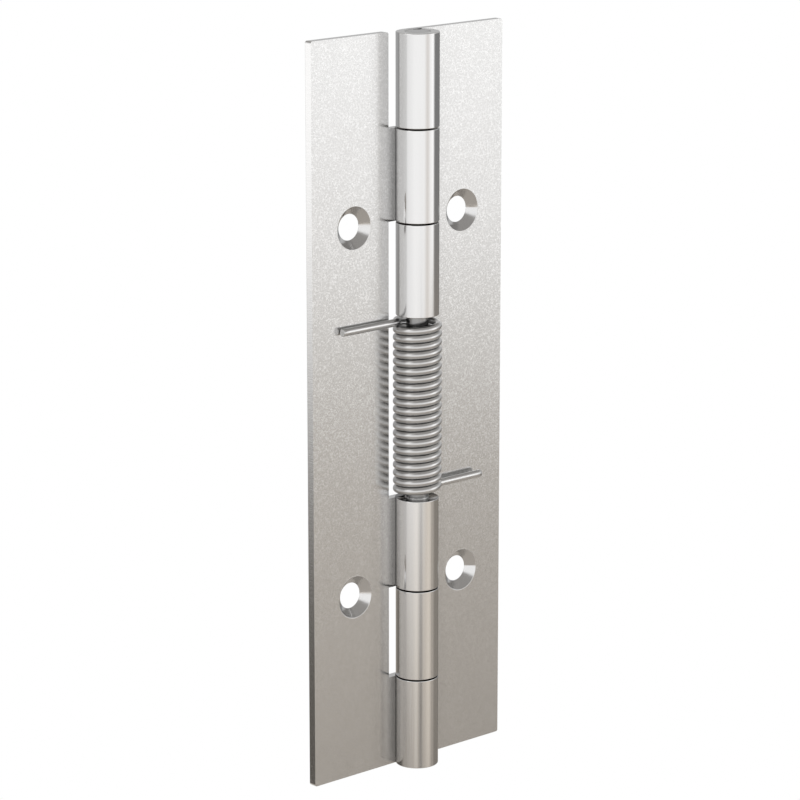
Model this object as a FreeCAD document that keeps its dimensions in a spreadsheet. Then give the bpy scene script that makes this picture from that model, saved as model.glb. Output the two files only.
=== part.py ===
import FreeCAD, Part
import math
import os
import Sketcher
from FreeCAD import Placement, Rotation, Vector

# Spring loaded door hinge, shown opened flat.
# The origin is on the pin's axis at half height. +Z runs up the pin, +X towards the right leaf.
# The barrel and the countersinks face -Y, and the backs of both leaves lie in one plane at +Y.
# The two leaves are the same stamping, one of them turned upside down.

SIZES = {
    # Leaf, cut from sheet and rolled round the pin along one edge
    "sheet_thickness": 2.0,
    "pin_dia": 5.8,
    "leaf_reach": 28.5,
    "leaf_corner": 0.5,
    "knuckle_pitch": 21.25,
    "knuckle_gap": 0.3,
    "knuckle_rim": 0.15,
    "seam_gap": 0.05,
    # Screw holes, countersunk from the front
    "screw_hole_dia": 6.0,
    "countersink_dia": 9.7,
    "countersink_angle": 90.0,
    "countersink_rim": 0.15,
    "screw_offset": 16.25,
    "screw_spacing": 85.0,
    # Pin, turned down to a neck where the spring runs round it
    "pin_clearance": 0.05,
    "neck_depth": 0.35,
    "pin_chamfer": 0.25,
    # Torsion spring
    "wire_dia": 1.75,
    "coil_pitch": 1.846,
    "whole_turns": 21.0,
    "coil_proud": 0.65,
    "coil_end_room": 0.5305,
    "slot_room": 0.5,
    "leg_bend_radius": 1.5,
    "leg_reach": 20.75,
    "upper_leg_gap": 0.15,
    "lower_leg_gap": 0.75,
}

# Sizes that follow from the ones in the sheet, as expressions. The heights count from the middle.
BORE_RADIUS = "(sizes.pin_dia / 2)"
ROLL_RADIUS = f"({BORE_RADIUS} + sizes.sheet_thickness)"
COIL_OUTSIDE = f"({ROLL_RADIUS} + sizes.coil_proud)"
COIL_RADIUS = f"({COIL_OUTSIDE} - sizes.wire_dia / 2)"
SLOT_EDGE = f"({COIL_OUTSIDE} + sizes.slot_room)"
COIL_LENGTH = "((sizes.whole_turns + 0.5) * sizes.coil_pitch + sizes.wire_dia)"
WINDOW_TOP = f"({COIL_LENGTH} / 2 + sizes.coil_end_room)"
HINGE_TOP = f"({WINDOW_TOP} + 3 * sizes.knuckle_pitch)"
RUNNING_RADIUS = f"({BORE_RADIUS} - sizes.pin_clearance)"
NECK_RADIUS = f"({RUNNING_RADIUS} - sizes.neck_depth)"
UPPER_LEG_Y = f"({BORE_RADIUS} - sizes.upper_leg_gap - sizes.wire_dia / 2)"
LOWER_LEG_Y = f"({BORE_RADIUS} - sizes.lower_leg_gap - sizes.wire_dia / 2)"

# How a sketch counts its own origin, its upright axis and the points of a line or an arc
ORIGIN = (-1, 1)
UPRIGHT_AXIS = -2
START, END, CENTRE = 1, 2, 3

doc = FreeCAD.newDocument("door_hinge")


def make_sheet():
    """Hold the driving sizes in a spreadsheet, one named cell for each."""
    sheet = doc.addObject("Spreadsheet::Sheet", "sizes")
    for row, (name, number) in enumerate(SIZES.items(), start=1):
        sheet.set(f"A{row}", name)
        sheet.set(f"B{row}", str(number))
        sheet.setAlias(f"B{row}", name)
    doc.recompute()
    return sheet


sheet = make_sheet()


def size(expression):
    """The number, in millimetres, that an expression of the sheet's sizes comes to."""
    return float(sheet.evalExpression(expression.replace("sizes.", "")))


def new_body(label):
    body = doc.addObject("PartDesign::Body", label)
    body.Label = label
    return body


def new_sketch(body, name, role):
    """A sketch on one of the body's own origin planes."""
    sketch = body.newObject("Sketcher::SketchObject", f"{body.Label}_{name}")
    plane = next(feature for feature in body.Origin.OriginFeatures if feature.Role == role)
    sketch.AttachmentSupport = [(plane, "")]
    sketch.MapMode = "FlatFace"
    return sketch


def drive(sketch, name, expression, *constraint):
    """Add a dimension to a sketch, named and bound to the sheet's sizes."""
    index = sketch.addConstraint(Sketcher.Constraint(*constraint, size(expression)))
    sketch.renameConstraint(index, name)
    sketch.setExpression(f"Constraints.{name}", expression)


def draw_outline(sketch, name, corners):
    """A closed outline of level and upright lines, each corner given as two expressions."""
    points = [Vector(size(across), size(height), 0) for across, height in corners]
    count = len(corners)
    lines = []
    for i in range(count):
        lines.append(sketch.addGeometry(Part.LineSegment(points[i], points[(i + 1) % count])))
    for i, line in enumerate(lines):
        across, height = corners[i]
        sketch.addConstraint(Sketcher.Constraint("Coincident", line, END, lines[(i + 1) % count], START))
        if height == corners[(i + 1) % count][1]:
            sketch.addConstraint(Sketcher.Constraint("Horizontal", line))
            drive(sketch, f"{name}_height_{i}", height, "DistanceY", *ORIGIN, line, START)
        elif across == "0":
            sketch.addConstraint(Sketcher.Constraint("PointOnObject", line, START, UPRIGHT_AXIS))
            sketch.addConstraint(Sketcher.Constraint("PointOnObject", line, END, UPRIGHT_AXIS))
        else:
            sketch.addConstraint(Sketcher.Constraint("Vertical", line))
            drive(sketch, f"{name}_across_{i}", across, "DistanceX", *ORIGIN, line, START)


def same(first, second):
    return math.isclose(first, second, abs_tol=1e-6)


def dress_edges(body, kind, name, amount, is_chosen):
    """Round or chamfer those edges of the body that a test picks out."""
    base = body.Tip
    edges = [f"Edge{i}" for i, edge in enumerate(base.Shape.Edges, start=1) if is_chosen(edge)]
    dressing = body.newObject(f"PartDesign::{kind}", f"{body.Label}_{name}")
    dressing.Base = (base, edges)
    dressing.setExpression("Radius" if kind == "Fillet" else "Size", amount)
    doc.recompute()


def draw_rolled_section(sketch):
    """The leaf seen along the pin: flat along the back, then rolled forward round the bore.

    The roll ends in a lip cut square to its curve, which stops just short of the leaf's front.
    """
    bore = size(BORE_RADIUS)
    roll = size(ROLL_RADIUS)
    reach = size("sizes.leaf_reach")
    lip_angle = math.pi - math.asin(size(f"({BORE_RADIUS} - sizes.seam_gap) / {ROLL_RADIUS}"))
    back_angle = 2.5 * math.pi
    centre = Vector(0, 0, 0)
    normal = Vector(0, 0, 1)
    lip_outside = Vector(roll * math.cos(lip_angle), roll * math.sin(lip_angle), 0)
    shapes = (
        Part.LineSegment(Vector(-reach, roll, 0), Vector(0, roll, 0)),
        Part.ArcOfCircle(Part.Circle(centre, normal, roll), lip_angle, back_angle),
        Part.LineSegment(lip_outside, lip_outside * (bore / roll)),
        Part.ArcOfCircle(Part.Circle(centre, normal, bore), lip_angle, back_angle),
        Part.LineSegment(Vector(0, bore, 0), Vector(-reach, bore, 0)),
        Part.LineSegment(Vector(-reach, bore, 0), Vector(-reach, roll, 0)),
    )
    back, outer, lip, inner, front, edge = (sketch.addGeometry(shape) for shape in shapes)
    rules = (
        ("Coincident", outer, CENTRE, *ORIGIN),
        ("Coincident", inner, CENTRE, *ORIGIN),
        ("Coincident", back, END, outer, END),
        ("Coincident", outer, START, lip, START),
        ("Coincident", lip, END, inner, START),
        ("Coincident", inner, END, front, START),
        ("Coincident", front, END, edge, START),
        ("Coincident", edge, END, back, START),
        ("Horizontal", back),
        ("Horizontal", front),
        ("Vertical", edge),
        ("PointOnObject", outer, END, UPRIGHT_AXIS),
        ("PointOnObject", inner, END, UPRIGHT_AXIS),
        ("PointOnObject", *ORIGIN, lip),
    )
    for rule in rules:
        sketch.addConstraint(Sketcher.Constraint(*rule))
    drive(sketch, "bore", BORE_RADIUS, "Radius", inner)
    drive(sketch, "roll", ROLL_RADIUS, "Radius", outer)
    drive(sketch, "reach", "sizes.leaf_reach", "DistanceX", edge, END, *ORIGIN)
    drive(sketch, "lip_height", f"{BORE_RADIUS} - sizes.seam_gap", "DistanceY", *ORIGIN, outer, START)


def cut_knuckles(body):
    """Cut the rolled edge away where the other leaf's knuckles and the spring have their places.

    From the top, the barrel has three knuckle places, the spring's window and three more places.
    The knuckles left standing are the second, the fourth and the sixth.
    """
    pitch = "sizes.knuckle_pitch"
    half_gap = "sizes.knuckle_gap / 2"
    cuts = (
        ("top", f"{HINGE_TOP} - {pitch} - {half_gap}", f"{HINGE_TOP} + {pitch}"),
        ("window", f"-{WINDOW_TOP}", f"{WINDOW_TOP} + {pitch} + {half_gap}"),
        ("low", f"-{WINDOW_TOP} - 2 * {pitch} - {half_gap}", f"-{WINDOW_TOP} - {pitch} + {half_gap}"),
    )
    left = f"-{SLOT_EDGE}"
    right = f"2 * {ROLL_RADIUS}"
    sketch = new_sketch(body, "slots", "XZ_Plane")
    for name, low, high in cuts:
        draw_outline(sketch, name, ((left, low), (right, low), (right, high), (left, high)))
    pocket = body.newObject("PartDesign::Pocket", f"{body.Label}_knuckles")
    pocket.Profile = sketch
    pocket.Type = "ThroughAll"
    pocket.SideType = "Symmetric"
    doc.recompute()


def drill_screw_holes(body):
    """Two holes, countersunk from the leaf's front face almost through the sheet."""
    sketch = new_sketch(body, "screw_centres", "XZ_Plane")
    sketch.setExpression("AttachmentOffset.Base.z", f"-{BORE_RADIUS}")
    for name, side in (("upper", ""), ("lower", "-")):
        height = f"{side}sizes.screw_spacing / 2"
        centre = Vector(-size("sizes.screw_offset"), size(height), 0)
        mark = sketch.addGeometry(Part.Circle(centre, Vector(0, 0, 1), size("sizes.screw_hole_dia / 2")))
        drive(sketch, f"{name}_across", "-sizes.screw_offset", "DistanceX", *ORIGIN, mark, CENTRE)
        drive(sketch, f"{name}_height", height, "DistanceY", *ORIGIN, mark, CENTRE)
        drive(sketch, f"{name}_dia", "sizes.screw_hole_dia", "Diameter", mark)
    doc.recompute()
    hole = body.newObject("PartDesign::Hole", f"{body.Label}_screw_holes")
    hole.Profile = sketch
    doc.recompute()
    hole.ThreadType = "None"
    hole.DepthType = "ThroughAll"
    hole.HoleCutType = "Countersink"
    hole.HoleCutCustomValues = True
    hole.setExpression("Diameter", "sizes.screw_hole_dia")
    hole.setExpression("HoleCutDiameter", "sizes.countersink_dia")
    hole.setExpression("HoleCutCountersinkAngle", "sizes.countersink_angle")
    doc.recompute()


def make_leaf(label, placement):
    """One leaf, modelled as the left one: flat plate, three rolled knuckles and two screw holes."""
    body = new_body(label)
    section = new_sketch(body, "section", "XY_Plane")
    draw_rolled_section(section)
    blank = body.newObject("PartDesign::Pad", f"{label}_blank")
    blank.Profile = section
    blank.SideType = "Symmetric"
    blank.setExpression("Length", f"2 * {HINGE_TOP}")
    doc.recompute()
    cut_knuckles(body)
    drill_screw_holes(body)
    top = size(HINGE_TOP)
    reach = size("sizes.leaf_reach")
    front = size(BORE_RADIUS)
    rim = size("sizes.countersink_dia / 2")
    roll = size(ROLL_RADIUS)

    def is_plate_corner(edge):
        if len(edge.Vertexes) != 2:
            return False
        first, last = (vertex.Point for vertex in edge.Vertexes)
        crosses_sheet = same(first.x, last.x) and same(first.z, last.z)
        on_outline = same(first.x, -reach) or same(first.z, top)
        return crosses_sheet and on_outline

    def is_countersink_rim(edge):
        curve = edge.Curve
        return isinstance(curve, Part.Circle) and same(curve.Center.y, front) and same(curve.Radius, rim)

    def is_knuckle_rim(edge):
        curve = edge.Curve
        on_axis = isinstance(curve, Part.Circle) and same(curve.Center.x, 0) and same(curve.Center.y, 0)
        return on_axis and same(curve.Radius, roll)

    dress_edges(body, "Fillet", "corners", "sizes.leaf_corner", is_plate_corner)
    # This rounding runs on along the outline of the back, where the punch went into the sheet
    dress_edges(body, "Fillet", "knuckle_rims", "sizes.knuckle_rim", is_knuckle_rim)
    dress_edges(body, "Fillet", "rims", "sizes.countersink_rim", is_countersink_rim)
    body.Placement = placement
    return body


def make_pin():
    """The pin: pressed into the top knuckle, free in the others, with a neck inside the spring."""
    body = new_body("hinge_pin")
    press_end = f"{HINGE_TOP} - sizes.knuckle_pitch + sizes.knuckle_gap / 2"
    corners = (
        ("0", HINGE_TOP),
        (BORE_RADIUS, HINGE_TOP),
        (BORE_RADIUS, press_end),
        (RUNNING_RADIUS, press_end),
        (RUNNING_RADIUS, WINDOW_TOP),
        (NECK_RADIUS, WINDOW_TOP),
        (NECK_RADIUS, f"-{WINDOW_TOP}"),
        (RUNNING_RADIUS, f"-{WINDOW_TOP}"),
        (RUNNING_RADIUS, f"-{HINGE_TOP}"),
        ("0", f"-{HINGE_TOP}"),
    )
    sketch = new_sketch(body, "half_section", "XZ_Plane")
    draw_outline(sketch, "step", corners)
    turned = body.newObject("PartDesign::Revolution", "hinge_pin_turned")
    turned.Profile = sketch
    turned.ReferenceAxis = (sketch, ["V_Axis"])
    turned.Angle = 360
    doc.recompute()
    top = size(HINGE_TOP)

    def is_end_rim(edge):
        return isinstance(edge.Curve, Part.Circle) and same(abs(edge.Curve.Center.z), top)

    dress_edges(body, "Chamfer", "ends", "sizes.pin_chamfer", is_end_rim)
    return body


def bend_angle(leg_y):
    """Angle from the X axis at which the coil's circle meets the bend to a leg at this Y."""
    bend = size("sizes.leg_bend_radius")
    return math.asin((leg_y + bend) / (size(COIL_RADIUS) + bend))


def leg_edges(side, leg_y, height):
    """The bend out of the coil and the straight leg after it, to the left (-1) or the right (1)."""
    bend = size("sizes.leg_bend_radius")
    radius = size(COIL_RADIUS)
    angle = bend_angle(leg_y)
    outward = Vector(side * math.cos(angle), math.sin(angle), 0)
    lift = Vector(0, 0, height)
    bend_centre = outward * (radius + bend)
    straight_start = bend_centre - Vector(0, bend, 0)
    halfway = (outward + Vector(0, 1, 0)).normalize()
    bend_middle = bend_centre - halfway * bend
    tip = Vector(side * size("sizes.leg_reach"), leg_y, 0)
    arc = Part.Arc(outward * radius + lift, bend_middle + lift, straight_start + lift).toShape()
    return arc, Part.LineSegment(straight_start + lift, tip + lift).toShape()


def make_spring():
    """The torsion spring: a right handed coil round the pin's neck, with a leg over each leaf."""
    lower_y = size(LOWER_LEG_Y)
    upper_y = size(UPPER_LEG_Y)
    start_angle = bend_angle(lower_y)
    end_angle = math.pi - bend_angle(upper_y)
    turns = size("sizes.whole_turns") + (end_angle - start_angle) / (2 * math.pi)
    height = turns * size("sizes.coil_pitch")
    coil = Part.makeHelix(size("sizes.coil_pitch"), height, size(COIL_RADIUS))
    coil.rotate(Vector(0, 0, 0), Vector(0, 0, 1), math.degrees(start_angle))
    coil.translate(Vector(0, 0, -height / 2))
    lower_bend, lower_leg = leg_edges(1, lower_y, -height / 2)
    upper_bend, upper_leg = leg_edges(-1, upper_y, height / 2)
    path = doc.addObject("Part::Feature", "spring_centre_line")
    path.Shape = Part.Wire([lower_leg, lower_bend, *coil.Edges, upper_bend, upper_leg])
    section = doc.addObject("Part::Circle", "spring_wire_section")
    section.setExpression("Radius", "sizes.wire_dia / 2")
    section.Placement = Placement(Vector(size("sizes.leg_reach"), lower_y, -height / 2),
                                  Rotation(Vector(0, 1, 0), 90))
    spring = doc.addObject("Part::Sweep", "torsion_spring")
    spring.Label = "torsion_spring"
    spring.Sections = [section]
    spring.Spine = (path, [f"Edge{i}" for i in range(1, len(path.Shape.Edges) + 1)])
    spring.Solid = True
    spring.Transition = "Transformed"
    doc.recompute()
    expected = path.Shape.Length * math.pi * size("sizes.wire_dia / 2") ** 2
    print(f"torsion_spring: {spring.Shape.Volume:.1f} mm3 swept, {expected:.1f} mm3 of wire")
    return spring


def check_and_write(pieces):
    """Stop at anything that failed, then write one STEP file for each piece."""
    doc.recompute()
    for item in doc.Objects:
        if "Invalid" in item.State or "Error" in item.State:
            raise RuntimeError(f"{item.Name} failed: {item.State}")
    for piece in pieces:
        shape = piece.Shape
        if shape.isNull() or not shape.isValid() or len(shape.Solids) != 1:
            raise RuntimeError(f"{piece.Label} isn't one valid solid")
    os.makedirs("parts", exist_ok=True)
    for piece in pieces:
        piece.Shape.exportStep(f"parts/{piece.Label}.step")
        box = piece.Shape.BoundBox
        print(f"{piece.Label}: {piece.Shape.Volume:.1f} mm3, "
              f"X {box.XMin:.2f} to {box.XMax:.2f}, Y {box.YMin:.2f} to {box.YMax:.2f}, "
              f"Z {box.ZMin:.2f} to {box.ZMax:.2f}")


left_leaf = make_leaf("left_leaf", Placement())
right_leaf = make_leaf("right_leaf", Placement(Vector(0, 0, 0), Rotation(Vector(0, 1, 0), 180)))
hinge_pin = make_pin()
torsion_spring = make_spring()
check_and_write((left_leaf, right_leaf, hinge_pin, torsion_spring))
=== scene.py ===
import math
from types import SimpleNamespace

import bpy
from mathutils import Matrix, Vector


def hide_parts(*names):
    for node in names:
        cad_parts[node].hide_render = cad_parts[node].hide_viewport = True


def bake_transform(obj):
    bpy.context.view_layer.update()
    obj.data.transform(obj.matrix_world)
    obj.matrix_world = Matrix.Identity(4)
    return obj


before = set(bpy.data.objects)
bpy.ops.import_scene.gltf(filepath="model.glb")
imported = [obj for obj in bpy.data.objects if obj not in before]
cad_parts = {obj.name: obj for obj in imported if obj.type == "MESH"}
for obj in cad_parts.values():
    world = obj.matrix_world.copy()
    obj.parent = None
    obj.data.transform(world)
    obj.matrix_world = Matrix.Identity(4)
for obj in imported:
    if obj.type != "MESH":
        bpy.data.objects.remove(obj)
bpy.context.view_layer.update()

MM = 0.001

# The photograph's camera, in the part's own frame. Azimuths count from the front towards the right.
VIEW_AZIMUTH = -41.969
VIEW_ELEVATION = 13.916
VIEW_TARGET = Vector((-2.953, 2.556, 1.375)) * MM
VIEW_DISTANCE = 774.657 * MM
LENS_MM = 154.34
SENSOR_MM = 36.0

# The hinge, as the CAD part has it. Heights count from its middle.
HALF_HEIGHT = 85.0 * MM
BARREL_RADIUS = 4.9 * MM
SHEET_BACK = 4.9 * MM
HOLE_X = 16.25 * MM
HOLE_Z = 42.5 * MM
COUNTERSINK_RADIUS = 5.0 * MM
JOINTS = (42.5 * MM, 63.75 * MM)
JOINT_REACH = 0.2 * MM
MOUTH = 21.25 * MM

# The spring: a right handed coil whose lower leg lies over the right leaf and upper leg over the left one
WIRE_RADIUS = 0.875 * MM
WIRE_CHAMFER = 0.12 * MM
COIL_RADIUS = 4.675 * MM
COIL_HALF_HEIGHT = 19.691 * MM
LOWER_ANGLE = math.radians(26.705)
UPPER_ANGLE = math.radians(146.87 + 21 * 360)
BEND_RADIUS = 1.5 * MM
LEG_END = 20.75 * MM
STEPS_PER_TURN = 64
EASE_STEPS = STEPS_PER_TURN // 12
LEG_STEPS = 12
BEND_STEPS = 10
WIRE_SIDES = 20

# Tones of the metals, with a painted shade and a painted glint among them, from dark to pale where there
# are two
BLACK = (0.0, 0.0, 0.0, 1.0)
WHITE = (1.0, 1.0, 1.0, 1.0)
SATIN_TONES = (0.616, 0.614, 0.61, 1.0), (0.627, 0.625, 0.622, 1.0)
# Painted glint on the satin grain's lines
GLINT_TONE = (0.745, 0.743, 0.739, 1.0)
BARREL_TONE = (0.689, 0.685, 0.683, 1.0)
HOLE_TONE = (0.65, 0.647, 0.644, 1.0)
EDGE_TONES = (0.694, 0.689, 0.683, 1.0), (0.818, 0.812, 0.806, 1.0)
JOINT_TONE = (0.0672, 0.0616, 0.056, 1.0)
# Painted shade: the knuckle ends that face the spring are darkened for the coil's shade and its dark
# reflection
MOUTH_SHADE_TONE = (0.224, 0.218, 0.213, 1.0)
PIN_TONES = (0.56, 0.558, 0.554, 1.0), (0.672, 0.67, 0.666, 1.0)
OIL_TONE = (0.056, 0.0504, 0.0448, 1.0)
WIRE_TONES = (0.571, 0.569, 0.566, 1.0), (0.683, 0.681, 0.678, 1.0)

# Roughness, from smooth to rough where there are two
SATIN_ROUGHNESS = 0.18, 0.22
BARREL_ROUGHNESS = 0.11, 0.15
HOLE_ROUGHNESS = 0.20
EDGE_ROUGHNESS = 0.13
END_ROUGHNESS = 0.10
PIN_ROUGHNESS = 0.16, 0.28
WIRE_ROUGHNESS = 0.28, 0.34

# Sizes of the patterns in the metal and on the floor, as noise scales
GRAIN_SCALE = 2600.0
SPARK_SCALE = 1900.0
CLOUD_SCALE = 60.0
RING_SCALE = 9000.0
DRAWN_SCALE = 4000.0
SHEARED_SCALE = 5000.0
PIN_SCALE = 6000.0
PIN_RING_SCALE = 5000.0
WIRE_SCALE = 6000.0
WIRE_PATCH_SCALE = 500.0
FLOOR_MOTTLE_SCALE = 3.0

# How the patterns are stretched: their lines run along the axis with the small number
DRAWN_STRETCH = (1.0, 1.0, 0.02)
SHEARED_STRETCH = (1.0, 0.1, 1.0)
PIN_STRETCH = (0.05, 0.05, 1.0)
WIRE_STRETCH = (0.04, 1.0, 1.0)

# The values between which a fine and a broad noise do most of their work
FINE_SPAN = 0.2, 0.8
BROAD_SPAN = 0.3, 0.7

# How deep the patterns go, and the share of it that each pattern on a leaf has
LEAF_DEPTH = 0.0024 * MM
DRAWN_SHARE = 0.1
RING_SHARE = 2.5
SHEARED_SHARE = 2.0
PIN_DEPTH = 0.002 * MM
WIRE_DEPTH = 0.0015 * MM

# The satin grain: thin lines that lean to catch the light, with a painted glint that is paler than the
# sheet and stronger towards the top of the hinge
SPARK_WIDTH = 0.06
SPARK_TILT = 0.015
GLINT_HEIGHTS = -70.0 * MM, 45.0 * MM
GLINT_SHARES = 0.35, 1.0

# Where the sheet and its roll shade each other, outwards from the pin or back from it, and how much
BESIDE_BARREL = 13.0 * MM, 9.0 * MM
BESIDE_SHADE = 0.045
AT_BARREL = 5.3 * MM, 3.9 * MM
AT_SHADE = 0.05
BESIDE_SEAM = 0.5 * MM, 2.2 * MM
SEAM_SHADE = 0.28

# The pin is oiled inside the knuckles and in shade inside the spring
OIL_START = 24.6 * MM, 25.4 * MM
OIL_END = HALF_HEIGHT - 0.2 * MM, HALF_HEIGHT - 0.4 * MM
SPRING_SHADE = 0.5

# How far a normal leans before its face counts as an edge or an end
TURNED_AWAY = 0.6, 0.8

# The studio's floor, a disc below the hinge
FLOOR_CENTRE = Vector((0.0, 0.0, -0.85))
FLOOR_RADIUS = 1.9
FLOOR_SIDES = 96
FLOOR_COLOUR = (0.92, 0.865, 0.80, 1.0)
FLOOR_MOTTLE = 0.97

# The studio's tones at bearings, in degrees from the front towards the right
WARM_STRIP = (0.755, 0.725, 0.70)
UPPER_TONES = (
    (-180, 0.35), (-150, 0.50), (-130, 0.95), (-15, 1.0), (15, 1.0),
    (44, 1.5), (64, 0.90), (80, 0.55), (138, 0.42), (180, 0.35))
WALL_TONES = (
    (-180, 0.40), (-165, 0.30), (-145, 1.03), (-122, 1.0), (-104, 0.78), (-92, 0.89),
    (-76, 0.94), (-58, 1.0), (-9, 1.0), (11, WARM_STRIP), (34, 1.04), (46, 1.15),
    (60, 0.20), (122, 0.20), (140, 0.42), (180, 0.34))
SWEEP_TONES = (
    (-180, 0.25), (-165, 0.10), (-140, 0.09), (-122, 0.34), (-98, 0.42), (-70, 0.51),
    (-45, 0.68), (-21, 0.25), (-6, 0.55), (24, 0.655), (36, 0.53), (43, 0.36),
    (53, 0.375), (64, 0.24), (80, 0.22), (118, 0.20), (138, 0.36), (180, 0.22))
SWEEP_TINT = (1.09, 0.99, 0.87, 1.0)
CEILING_TONE = (0.31, 0.30, 0.288, 1.0)
STUDIO_STRENGTH = 1.268

# The bearings over which the studio turns into its left side, its right side and its far left corner
LEFT_SIDE = 20, -10
RIGHT_SIDE = 0, 30
LEFT_CORNER = -116, -134

# The elevations, in degrees, from which and to which one of the studio's surfaces goes over into the next
WALL_FOOT_LEFT = -18.1, -10.4
WALL_FOOT_RIGHT = -14.6, -13.1
UPPER_EDGE = -7.0, 0.0
CEILING_EDGE = 30.0, 18.0

# How many degrees the wall's foot rises from the middle to the far right, and into the far left corner
RIGHT_RISE = 2.2
CORNER_RISE = 2.1

# The sweep darkens below an elevation: by a rate per degree on the left, and down to a tone on the right
FALL_START = -17.6
FALL_RATE = 1.18
FALL_LEAST = 0.55
GAP_EDGE = -19.6, -22.2
GAP_TONE = 0.10


# Shader nodes

def add(tree, kind, inputs=None, **settings):
    """Adds a node. A socket among the inputs is linked, and any other value is set."""
    node = tree.nodes.new(kind)
    for name, value in settings.items():
        setattr(node, name, value)
    for key, value in (inputs or {}).items():
        if isinstance(value, bpy.types.NodeSocket):
            tree.links.new(value, node.inputs[key])
        else:
            node.inputs[key].default_value = value
    return node


def calc(tree, operation, *values):
    """The result of a Math node."""
    return add(tree, "ShaderNodeMath", dict(enumerate(values)), operation=operation).outputs[0]


def times(tree, first, second):
    return calc(tree, "MULTIPLY", first, second)


def total(tree, first, *others):
    """The sum of two or more numbers."""
    for other in others:
        first = calc(tree, "ADD", first, other)
    return first


def minus(tree, first, second):
    return calc(tree, "SUBTRACT", first, second)


def without(tree, value, mask):
    """The value where the mask is 0, and nothing where it is 1."""
    return times(tree, value, minus(tree, 1.0, mask))


def size_of(tree, value):
    """The number without its sign."""
    return calc(tree, "ABSOLUTE", value)


def length(tree, first, second):
    """The length of a vector with these two parts."""
    return calc(tree, "SQRT", total(tree, times(tree, first, first), times(tree, second, second)))


def vector(tree, x=0.0, z=0.0):
    """A vector with these parts."""
    return add(tree, "ShaderNodeCombineXYZ", {0: x, 2: z}).outputs[0]


def parts_of(tree, value):
    """The x, y and z of a vector."""
    return add(tree, "ShaderNodeSeparateXYZ", {0: value}).outputs


def vector_calc(tree, operation, *values):
    """The vector that a Vector Math node gives."""
    return add(tree, "ShaderNodeVectorMath", dict(enumerate(values)), operation=operation).outputs[0]


def stretched(tree, place, scale):
    return add(tree, "ShaderNodeMapping", {"Vector": place, "Scale": scale}).outputs[0]


def ramp(tree, value, start, end, low=0.0, high=1.0):
    """Goes smoothly from low to high as the value goes from start to end."""
    inputs = {"Value": value, "From Min": start, "From Max": end, "To Min": low, "To Max": high}
    return add(tree, "ShaderNodeMapRange", inputs, interpolation_type="SMOOTHSTEP").outputs["Result"]


def mix(tree, factor, first, second, way="MIX"):
    """A mix of two colours. A colour mix node's own sockets come after those for numbers and vectors."""
    inputs = {0: factor, 6: first, 7: second}
    return add(tree, "ShaderNodeMix", inputs, data_type="RGBA", blend_type=way).outputs[2]


def blend_numbers(tree, share, first, second):
    """A number that goes from first to second as the share goes from 0 to 1."""
    return add(tree, "ShaderNodeMix", {0: share, 2: first, 3: second}, data_type="FLOAT").outputs[0]


def noise(tree, place, scale, detail=2.0):
    inputs = {"Vector": place, "Scale": scale, "Detail": detail, "Roughness": 0.5}
    return add(tree, "ShaderNodeTexNoise", inputs).outputs["Fac"]


def new_material(name):
    material = bpy.data.materials.new(name)
    material.use_nodes = True
    tree = material.node_tree
    tree.nodes.clear()
    return material, tree


def finish_metal(tree, colour, roughness, height, depth, normal=None):
    """Ends a material with a metal shader whose surface rises by depth where height is 1."""
    bump = add(tree, "ShaderNodeBump", {"Strength": 1.0, "Distance": depth, "Height": height})
    if normal:
        tree.links.new(normal, bump.inputs["Normal"])
    shader = add(tree, "ShaderNodeBsdfPrincipled", {
        "Base Color": colour, "Metallic": 1.0, "Roughness": roughness, "Normal": bump.outputs["Normal"]})
    add(tree, "ShaderNodeOutputMaterial", {"Surface": shader.outputs["BSDF"]})


# The metals

def leaf_zones(tree, side):
    """Masks for the parts of the leaf on the left (-1) or the right (1), and what tells them apart."""
    coordinates = add(tree, "ShaderNodeTexCoord")
    place = coordinates.outputs["Object"]
    x, y, z = parts_of(tree, place)
    facing = parts_of(tree, coordinates.outputs["Normal"])
    outward = times(tree, x, side)
    height = size_of(tree, z)
    from_hole = length(tree, minus(tree, size_of(tree, x), HOLE_X), minus(tree, height, HOLE_Z))

    barrel = ramp(tree, length(tree, x, y), BARREL_RADIUS + 0.25 * MM, BARREL_RADIUS + 0.05 * MM)
    in_sheet = calc(tree, "LESS_THAN", y, SHEET_BACK - 0.02 * MM)
    hole = times(tree, calc(tree, "LESS_THAN", from_hole, COUNTERSINK_RADIUS - 0.01 * MM), in_sheet)
    facing_up = ramp(tree, size_of(tree, facing[2]), *TURNED_AWAY)
    facing_out = without(tree, ramp(tree, size_of(tree, facing[0]), *TURNED_AWAY), barrel)
    edge = without(tree, calc(tree, "MAXIMUM", facing_up, facing_out), hole)
    knuckle_end = times(tree, facing_up, barrel)
    at_joints = [calc(tree, "LESS_THAN", size_of(tree, minus(tree, height, joint)), JOINT_REACH)
                 for joint in JOINTS]
    in_joint = times(tree, knuckle_end, calc(tree, "MAXIMUM", *at_joints))
    # Painted shade: the knuckle ends at the spring's mouth
    shaded_mouth = times(tree, knuckle_end, calc(tree, "LESS_THAN", height, MOUTH + 0.1 * MM))
    satin = without(tree, without(tree, minus(tree, 1.0, edge), barrel), hole)
    return SimpleNamespace(
        place=place, y=y, z=z, outward=outward, from_hole=from_hole, barrel=barrel, hole=hole, edge=edge,
        knuckle_end=knuckle_end, in_joint=in_joint, shaded_mouth=shaded_mouth, satin=satin)


def leaf_shade(tree, zones):
    """How much the sheet and its roll shade each other beside the seam."""
    beside_barrel = times(tree, zones.satin, ramp(tree, zones.outward, *BESIDE_BARREL))
    at_barrel = times(tree, zones.satin, ramp(tree, zones.outward, *AT_BARREL))
    inside_roll = times(tree, zones.barrel, calc(tree, "GREATER_THAN", zones.outward, 0.0))
    at_seam = times(tree, inside_roll, ramp(tree, zones.y, *BESIDE_SEAM))
    return total(tree, times(tree, beside_barrel, BESIDE_SHADE), times(tree, at_barrel, AT_SHADE),
                 times(tree, at_seam, SEAM_SHADE))


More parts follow.
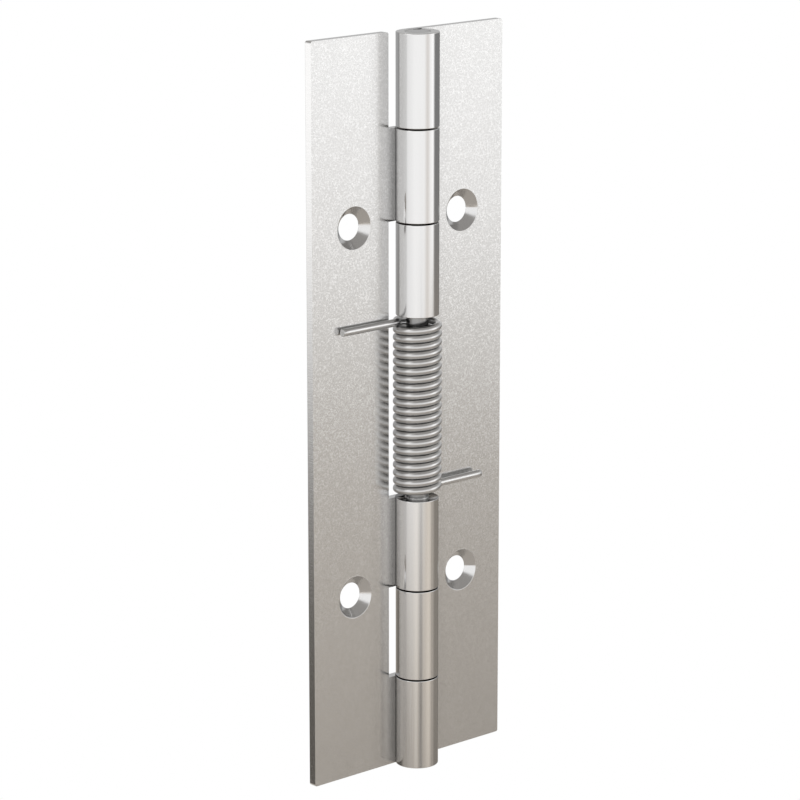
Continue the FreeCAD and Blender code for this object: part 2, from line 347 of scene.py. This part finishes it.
def leaf_steel(name, side):
    """Fine satin sheet with a polished barrel, for the leaf on the left (-1) or the right (1)."""
    material, tree = new_material(name)
    zones = leaf_zones(tree, side)
    place = zones.place

    grain = noise(tree, place, GRAIN_SCALE, detail=1.0)
    cloud = noise(tree, place, CLOUD_SCALE)
    rings = noise(tree, vector(tree, x=zones.from_hole), RING_SCALE, detail=3.0)
    drawn = noise(tree, stretched(tree, place, DRAWN_STRETCH), DRAWN_SCALE)
    sheared = noise(tree, stretched(tree, place, SHEARED_STRETCH), SHEARED_SCALE, detail=3.0)

    # Thin lines where a noise crosses its middle, whose normals lean a little upwards
    from_middle = size_of(tree, minus(tree, noise(tree, place, SPARK_SCALE, detail=1.0), 0.5))
    spark = ramp(tree, from_middle, SPARK_WIDTH, 0.0)
    lean = vector(tree, z=times(tree, zones.satin, times(tree, spark, SPARK_TILT)))
    surface = vector_calc(tree, "ADD", add(tree, "ShaderNodeNewGeometry").outputs["Normal"], lean)
    surface = vector_calc(tree, "NORMALIZE", surface)

    colour = mix(tree, ramp(tree, cloud, *BROAD_SPAN), *SATIN_TONES)
    # Painted glint: the grain's lines are painted paler, and more strongly towards the top of the hinge
    painted_glint = times(tree, spark, ramp(tree, zones.z, *GLINT_HEIGHTS, *GLINT_SHARES))
    colour = mix(tree, painted_glint, colour, GLINT_TONE)
    colour = mix(tree, zones.barrel, colour, BARREL_TONE)
    colour = mix(tree, zones.hole, colour, HOLE_TONE)
    colour = mix(tree, zones.edge, colour, mix(tree, sheared, *EDGE_TONES))
    colour = mix(tree, zones.in_joint, colour, JOINT_TONE)
    # Painted shade and reflection of the spring on the knuckle ends that face it
    colour = mix(tree, zones.shaded_mouth, colour, MOUTH_SHADE_TONE)
    colour = mix(tree, leaf_shade(tree, zones), colour, BLACK)

    roughness = ramp(tree, grain, *FINE_SPAN, *SATIN_ROUGHNESS)
    for mask, value in ((zones.barrel, ramp(tree, drawn, *FINE_SPAN, *BARREL_ROUGHNESS)),
                        (zones.hole, HOLE_ROUGHNESS), (zones.edge, EDGE_ROUGHNESS),
                        (zones.knuckle_end, END_ROUGHNESS)):
        roughness = total(tree, without(tree, roughness, mask), times(tree, mask, value))

    cut_edge = without(tree, zones.edge, zones.knuckle_end)
    height = total(tree, times(tree, times(tree, zones.barrel, drawn), DRAWN_SHARE),
                   times(tree, times(tree, zones.hole, rings), RING_SHARE),
                   times(tree, times(tree, cut_edge, sheared), SHEARED_SHARE))
    finish_metal(tree, colour, roughness, height, LEAF_DEPTH, surface)
    return material


def pin_steel():
    """Bright turned steel, with rings on its two ends."""
    material, tree = new_material("pin_steel")
    place = add(tree, "ShaderNodeTexCoord").outputs["Object"]
    x, y, z = parts_of(tree, place)
    along = size_of(tree, z)
    turned = noise(tree, stretched(tree, place, PIN_STRETCH), PIN_SCALE, detail=3.0)
    rings = noise(tree, vector(tree, x=length(tree, x, y)), PIN_RING_SCALE, detail=3.0)
    at_end = calc(tree, "GREATER_THAN", along, HALF_HEIGHT - 0.1 * MM)
    height = total(tree, times(tree, at_end, rings), without(tree, turned, at_end))

    colour = mix(tree, height, *PIN_TONES)
    oiled = times(tree, ramp(tree, along, *OIL_START), ramp(tree, along, *OIL_END))
    colour = mix(tree, oiled, colour, OIL_TONE)
    inside_spring = ramp(tree, along, MOUTH + 0.1 * MM, MOUTH - 0.4 * MM)
    colour = mix(tree, times(tree, inside_spring, SPRING_SHADE), colour, BLACK)
    roughness = ramp(tree, height, *FINE_SPAN, *PIN_ROUGHNESS)
    finish_metal(tree, colour, roughness, height, PIN_DEPTH)
    return material


def spring_wire():
    """Bright drawn wire, with fine lines along it."""
    material, tree = new_material("spring_wire")
    wire = add(tree, "ShaderNodeAttribute", attribute_name="wire_place", attribute_type="GEOMETRY")
    place = wire.outputs["Vector"]
    lines = noise(tree, stretched(tree, place, WIRE_STRETCH), WIRE_SCALE, detail=3.0)
    patches = noise(tree, place, WIRE_PATCH_SCALE)
    colour = mix(tree, lines, *WIRE_TONES)
    roughness = ramp(tree, patches, *BROAD_SPAN, *WIRE_ROUGHNESS)
    finish_metal(tree, colour, roughness, lines, WIRE_DEPTH)
    return material


def dress(node, material):
    """Gives a CAD node its material."""
    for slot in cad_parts[node].material_slots:
        slot.material = material


# The spring

def leg_route(angle, side):
    """The middle of a leg and its bend, from its end to the coil, on the right (1) or the left (-1)."""
    bend = Vector((math.cos(angle), math.sin(angle), 0.0)) * (COIL_RADIUS + BEND_RADIUS)
    start = Vector((side * LEG_END, bend.y - BEND_RADIUS, 0.0))
    end = Vector((bend.x, start.y, 0.0))
    run = [start.lerp(end, i / LEG_STEPS) for i in range(LEG_STEPS)]
    first, last = -math.pi / 2, angle % (2 * math.pi) - math.pi
    if last > 0:
        last -= 2 * math.pi
    turns = [first + (last - first) * i / BEND_STEPS for i in range(BEND_STEPS)]
    return run + [bend + Vector((math.cos(a), math.sin(a), 0.0)) * BEND_RADIUS for a in turns]


def coil_route():
    """The middle of the coil from its lower to its upper end, with level ends that ease into the climb."""
    steps = round((UPPER_ANGLE - LOWER_ANGLE) / (2 * math.pi) * STEPS_PER_TURN)
    climbs = [min(1.0, (i + 0.5) / EASE_STEPS, (steps - i - 0.5) / EASE_STEPS) for i in range(steps)]
    whole_climb = sum(climbs)
    coil = []
    climbed = 0.0
    for i in range(steps + 1):
        angle = LOWER_ANGLE + (UPPER_ANGLE - LOWER_ANGLE) * i / steps
        height = COIL_HALF_HEIGHT * (2 * climbed / whole_climb - 1)
        coil.append(Vector((COIL_RADIUS * math.cos(angle), COIL_RADIUS * math.sin(angle), height)))
        if i < steps:
            climbed += climbs[i]
    return coil


def wire_route():
    """The points of the wire's middle, from the lower leg's end to the upper leg's end."""
    level = Vector((0.0, 0.0, COIL_HALF_HEIGHT))
    lower = [point - level for point in leg_route(LOWER_ANGLE, 1)]
    upper = [point + level for point in leg_route(UPPER_ANGLE, -1)]
    return lower + coil_route() + upper[::-1]


def make_spring():
    """The torsion spring as one closed tube of wire."""
    route = wire_route()
    ahead = (route[1] - route[0]).normalized() * WIRE_CHAMFER
    behind = (route[-1] - route[-2]).normalized() * WIRE_CHAMFER
    route = [route[0], route[0] + ahead] + route[1:-1] + [route[-1] - behind, route[-1]]
    end_radius = WIRE_RADIUS - WIRE_CHAMFER
    radii = [end_radius] + [WIRE_RADIUS] * (len(route) - 2) + [end_radius]
    vertices = []
    places = []
    run = 0.0
    for i, (point, radius) in enumerate(zip(route, radii)):
        before, after = route[max(i - 1, 0)], route[min(i + 1, len(route) - 1)]
        along = (after - before).normalized()
        side = along.cross(Vector((0.0, 0.0, 1.0))).normalized()
        up = side.cross(along)
        if i:
            run += (point - route[i - 1]).length
        for j in range(WIRE_SIDES):
            turn = 2 * math.pi * j / WIRE_SIDES
            vertices.append(point + (side * math.cos(turn) + up * math.sin(turn)) * radius)
            places.append((run, WIRE_RADIUS * math.cos(turn), WIRE_RADIUS * math.sin(turn)))
    faces = []
    for i in range(len(route) - 1):
        for j in range(WIRE_SIDES):
            k = (j + 1) % WIRE_SIDES
            first, second = i * WIRE_SIDES, (i + 1) * WIRE_SIDES
            faces.append((first + j, first + k, second + k, second + j))
    last = (len(route) - 1) * WIRE_SIDES
    faces.append(tuple(range(WIRE_SIDES - 1, -1, -1)))
    faces.append(tuple(last + j for j in range(WIRE_SIDES)))
    mesh = bpy.data.meshes.new("spring_coil")
    mesh.from_pydata([tuple(v) for v in vertices], [], faces)
    mesh.shade_smooth()
    for cap in mesh.polygons[-2:]:
        cap.use_smooth = False
    attribute = mesh.attributes.new("wire_place", "FLOAT_VECTOR", "POINT")
    for item, place in zip(attribute.data, places):
        item.vector = place
    mesh.update()
    spring = bpy.data.objects.new("spring_coil", mesh)
    bpy.context.scene.collection.objects.link(spring)
    return spring


# The studio

def white_when_seen(tree, lit, white):
    """White to the camera and through clear things, and lit to the light and in reflections."""
    rays = add(tree, "ShaderNodeLightPath")
    seen = calc(tree, "MAXIMUM", rays.outputs["Is Camera Ray"], rays.outputs["Is Transmission Ray"])
    return add(tree, "ShaderNodeMixShader", {0: seen, 1: lit.outputs[0], 2: white.outputs[0]}).outputs[0]


def make_floor():
    """A pale floor disc, which the camera sees as white."""
    material, tree = new_material("studio_floor")
    mottle = noise(tree, add(tree, "ShaderNodeTexCoord").outputs["Object"], FLOOR_MOTTLE_SCALE)
    darker = tuple(FLOOR_MOTTLE * c for c in FLOOR_COLOUR[:3]) + (1.0,)
    lit = add(tree, "ShaderNodeBsdfDiffuse", {"Color": mix(tree, mottle, darker, FLOOR_COLOUR)})
    white = add(tree, "ShaderNodeEmission", {"Color": WHITE, "Strength": 1.0})
    add(tree, "ShaderNodeOutputMaterial", {"Surface": white_when_seen(tree, lit, white)})
    rim = [FLOOR_CENTRE + FLOOR_RADIUS * Vector((math.cos(a), math.sin(a), 0.0))
           for a in (2 * math.pi * i / FLOOR_SIDES for i in range(FLOOR_SIDES))]
    mesh = bpy.data.meshes.new("floor")
    mesh.from_pydata([tuple(p) for p in rim], [], [tuple(range(FLOOR_SIDES))])
    mesh.materials.append(material)
    floor = bpy.data.objects.new("floor", mesh)
    bpy.context.scene.collection.objects.link(floor)
    return floor


def share_of(degrees):
    """A bearing as a share of the whole round, which starts at the back."""
    return degrees / 360 + 0.5


def tones(tree, bearing, stops):
    """A colour ramp along the bearing."""
    node = add(tree, "ShaderNodeValToRGB", {"Fac": bearing})
    elements = node.color_ramp.elements
    node.color_ramp.interpolation = "EASE"
    while len(elements) < len(stops):
        elements.new(0.5)
    for element, (degrees, tone) in zip(elements, stops):
        element.position = share_of(degrees)
        element.color = (tone if isinstance(tone, tuple) else (tone,) * 3) + (1.0,)
    return node.outputs["Color"]


def between(tree, bearing, start, end):
    """Goes from 0 at the bearing of start to 1 at that of end."""
    return ramp(tree, bearing, share_of(start), share_of(end))


def sweep_tones(tree, bearing, height):
    """The sweep between the wall and the floor, which darkens on its way down."""
    sweep = mix(tree, 1.0, tones(tree, bearing, SWEEP_TONES), SWEEP_TINT, "MULTIPLY")
    fall = calc(tree, "POWER", FALL_RATE, total(tree, height, -FALL_START))
    fall = calc(tree, "MINIMUM", 1.0, calc(tree, "MAXIMUM", FALL_LEAST, fall))
    gap = ramp(tree, height, *GAP_EDGE, 1.0, GAP_TONE)
    on_left = between(tree, bearing, *LEFT_SIDE)
    return mix(tree, blend_numbers(tree, on_left, gap, fall), BLACK, sweep)


def wall_share(tree, bearing, height, x):
    """How far the sweep has gone over into the wall, slowly on the left and quickly on the right."""
    right_rise = times(tree, x, RIGHT_RISE)
    corner_rise = times(tree, between(tree, bearing, *LEFT_CORNER), CORNER_RISE)
    skirting = minus(tree, minus(tree, height, right_rise), corner_rise)
    on_right = between(tree, bearing, *RIGHT_SIDE)
    foot = blend_numbers(tree, on_right, WALL_FOOT_LEFT[0], WALL_FOOT_RIGHT[0])
    top = blend_numbers(tree, on_right, WALL_FOOT_LEFT[1], WALL_FOOT_RIGHT[1])
    return ramp(tree, skirting, foot, top)


def make_world():
    """White to the camera. Metal sees a bright wall, a sweep to the floor, and a dim ceiling and rear."""
    world = bpy.data.worlds.new("studio")
    world.use_nodes = True
    tree = world.node_tree
    tree.nodes.clear()
    x, y, z = parts_of(tree, add(tree, "ShaderNodeTexCoord").outputs["Generated"])
    height = times(tree, calc(tree, "ARCSINE", z), 180 / math.pi)
    angle = calc(tree, "ARCTAN2", x, times(tree, y, -1.0))
    bearing = total(tree, calc(tree, "DIVIDE", angle, 2 * math.pi), 0.5)

    studio = mix(tree, wall_share(tree, bearing, height, x), sweep_tones(tree, bearing, height),
                 tones(tree, bearing, WALL_TONES))
    studio = mix(tree, ramp(tree, height, *UPPER_EDGE), studio, tones(tree, bearing, UPPER_TONES))
    studio = mix(tree, ramp(tree, height, *CEILING_EDGE), CEILING_TONE, studio)
    lit = add(tree, "ShaderNodeBackground", {"Color": studio, "Strength": STUDIO_STRENGTH})
    white = add(tree, "ShaderNodeBackground", {"Color": WHITE, "Strength": 1.0})
    add(tree, "ShaderNodeOutputWorld", {"Surface": white_when_seen(tree, lit, white)})
    bpy.context.scene.world = world


def direction_of(azimuth, elevation):
    a, e = math.radians(azimuth), math.radians(elevation)
    return Vector((math.sin(a) * math.cos(e), -math.cos(a) * math.cos(e), math.sin(e)))


def aim(obj, place, target):
    obj.location = place
    obj.rotation_euler = (target - place).to_track_quat("-Z", "Y").to_euler()
    bpy.context.scene.collection.objects.link(obj)


def make_lamp(name, azimuth, elevation, distance, size, power):
    lamp = bpy.data.lights.new(name, "AREA")
    lamp.shape = "SQUARE"
    lamp.size = size
    lamp.energy = power
    place = direction_of(azimuth, elevation) * distance
    aim(bpy.data.objects.new(name, lamp), place, Vector((0.0, 0.0, 0.0)))


def make_camera():
    camera = bpy.data.cameras.new("camera")
    camera.sensor_width = SENSOR_MM
    camera.lens = LENS_MM
    camera.clip_start = 0.01
    camera.clip_end = 50.0
    obj = bpy.data.objects.new("camera", camera)
    aim(obj, VIEW_TARGET + direction_of(VIEW_AZIMUTH, VIEW_ELEVATION) * VIEW_DISTANCE, VIEW_TARGET)
    bpy.context.scene.camera = obj


dress("left_leaf", leaf_steel("left_satin_stainless", -1.0))
dress("right_leaf", leaf_steel("right_satin_stainless", 1.0))
dress("hinge_pin", pin_steel())

spring = make_spring()
spring.data.materials.append(spring_wire())
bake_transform(spring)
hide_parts("torsion_spring")

make_floor()
make_world()
make_lamp("key", azimuth=-100.0, elevation=35.0, distance=2.0, size=1.2, power=5.4)
make_camera()
bpy.context.scene.view_settings.view_transform = "Standard"
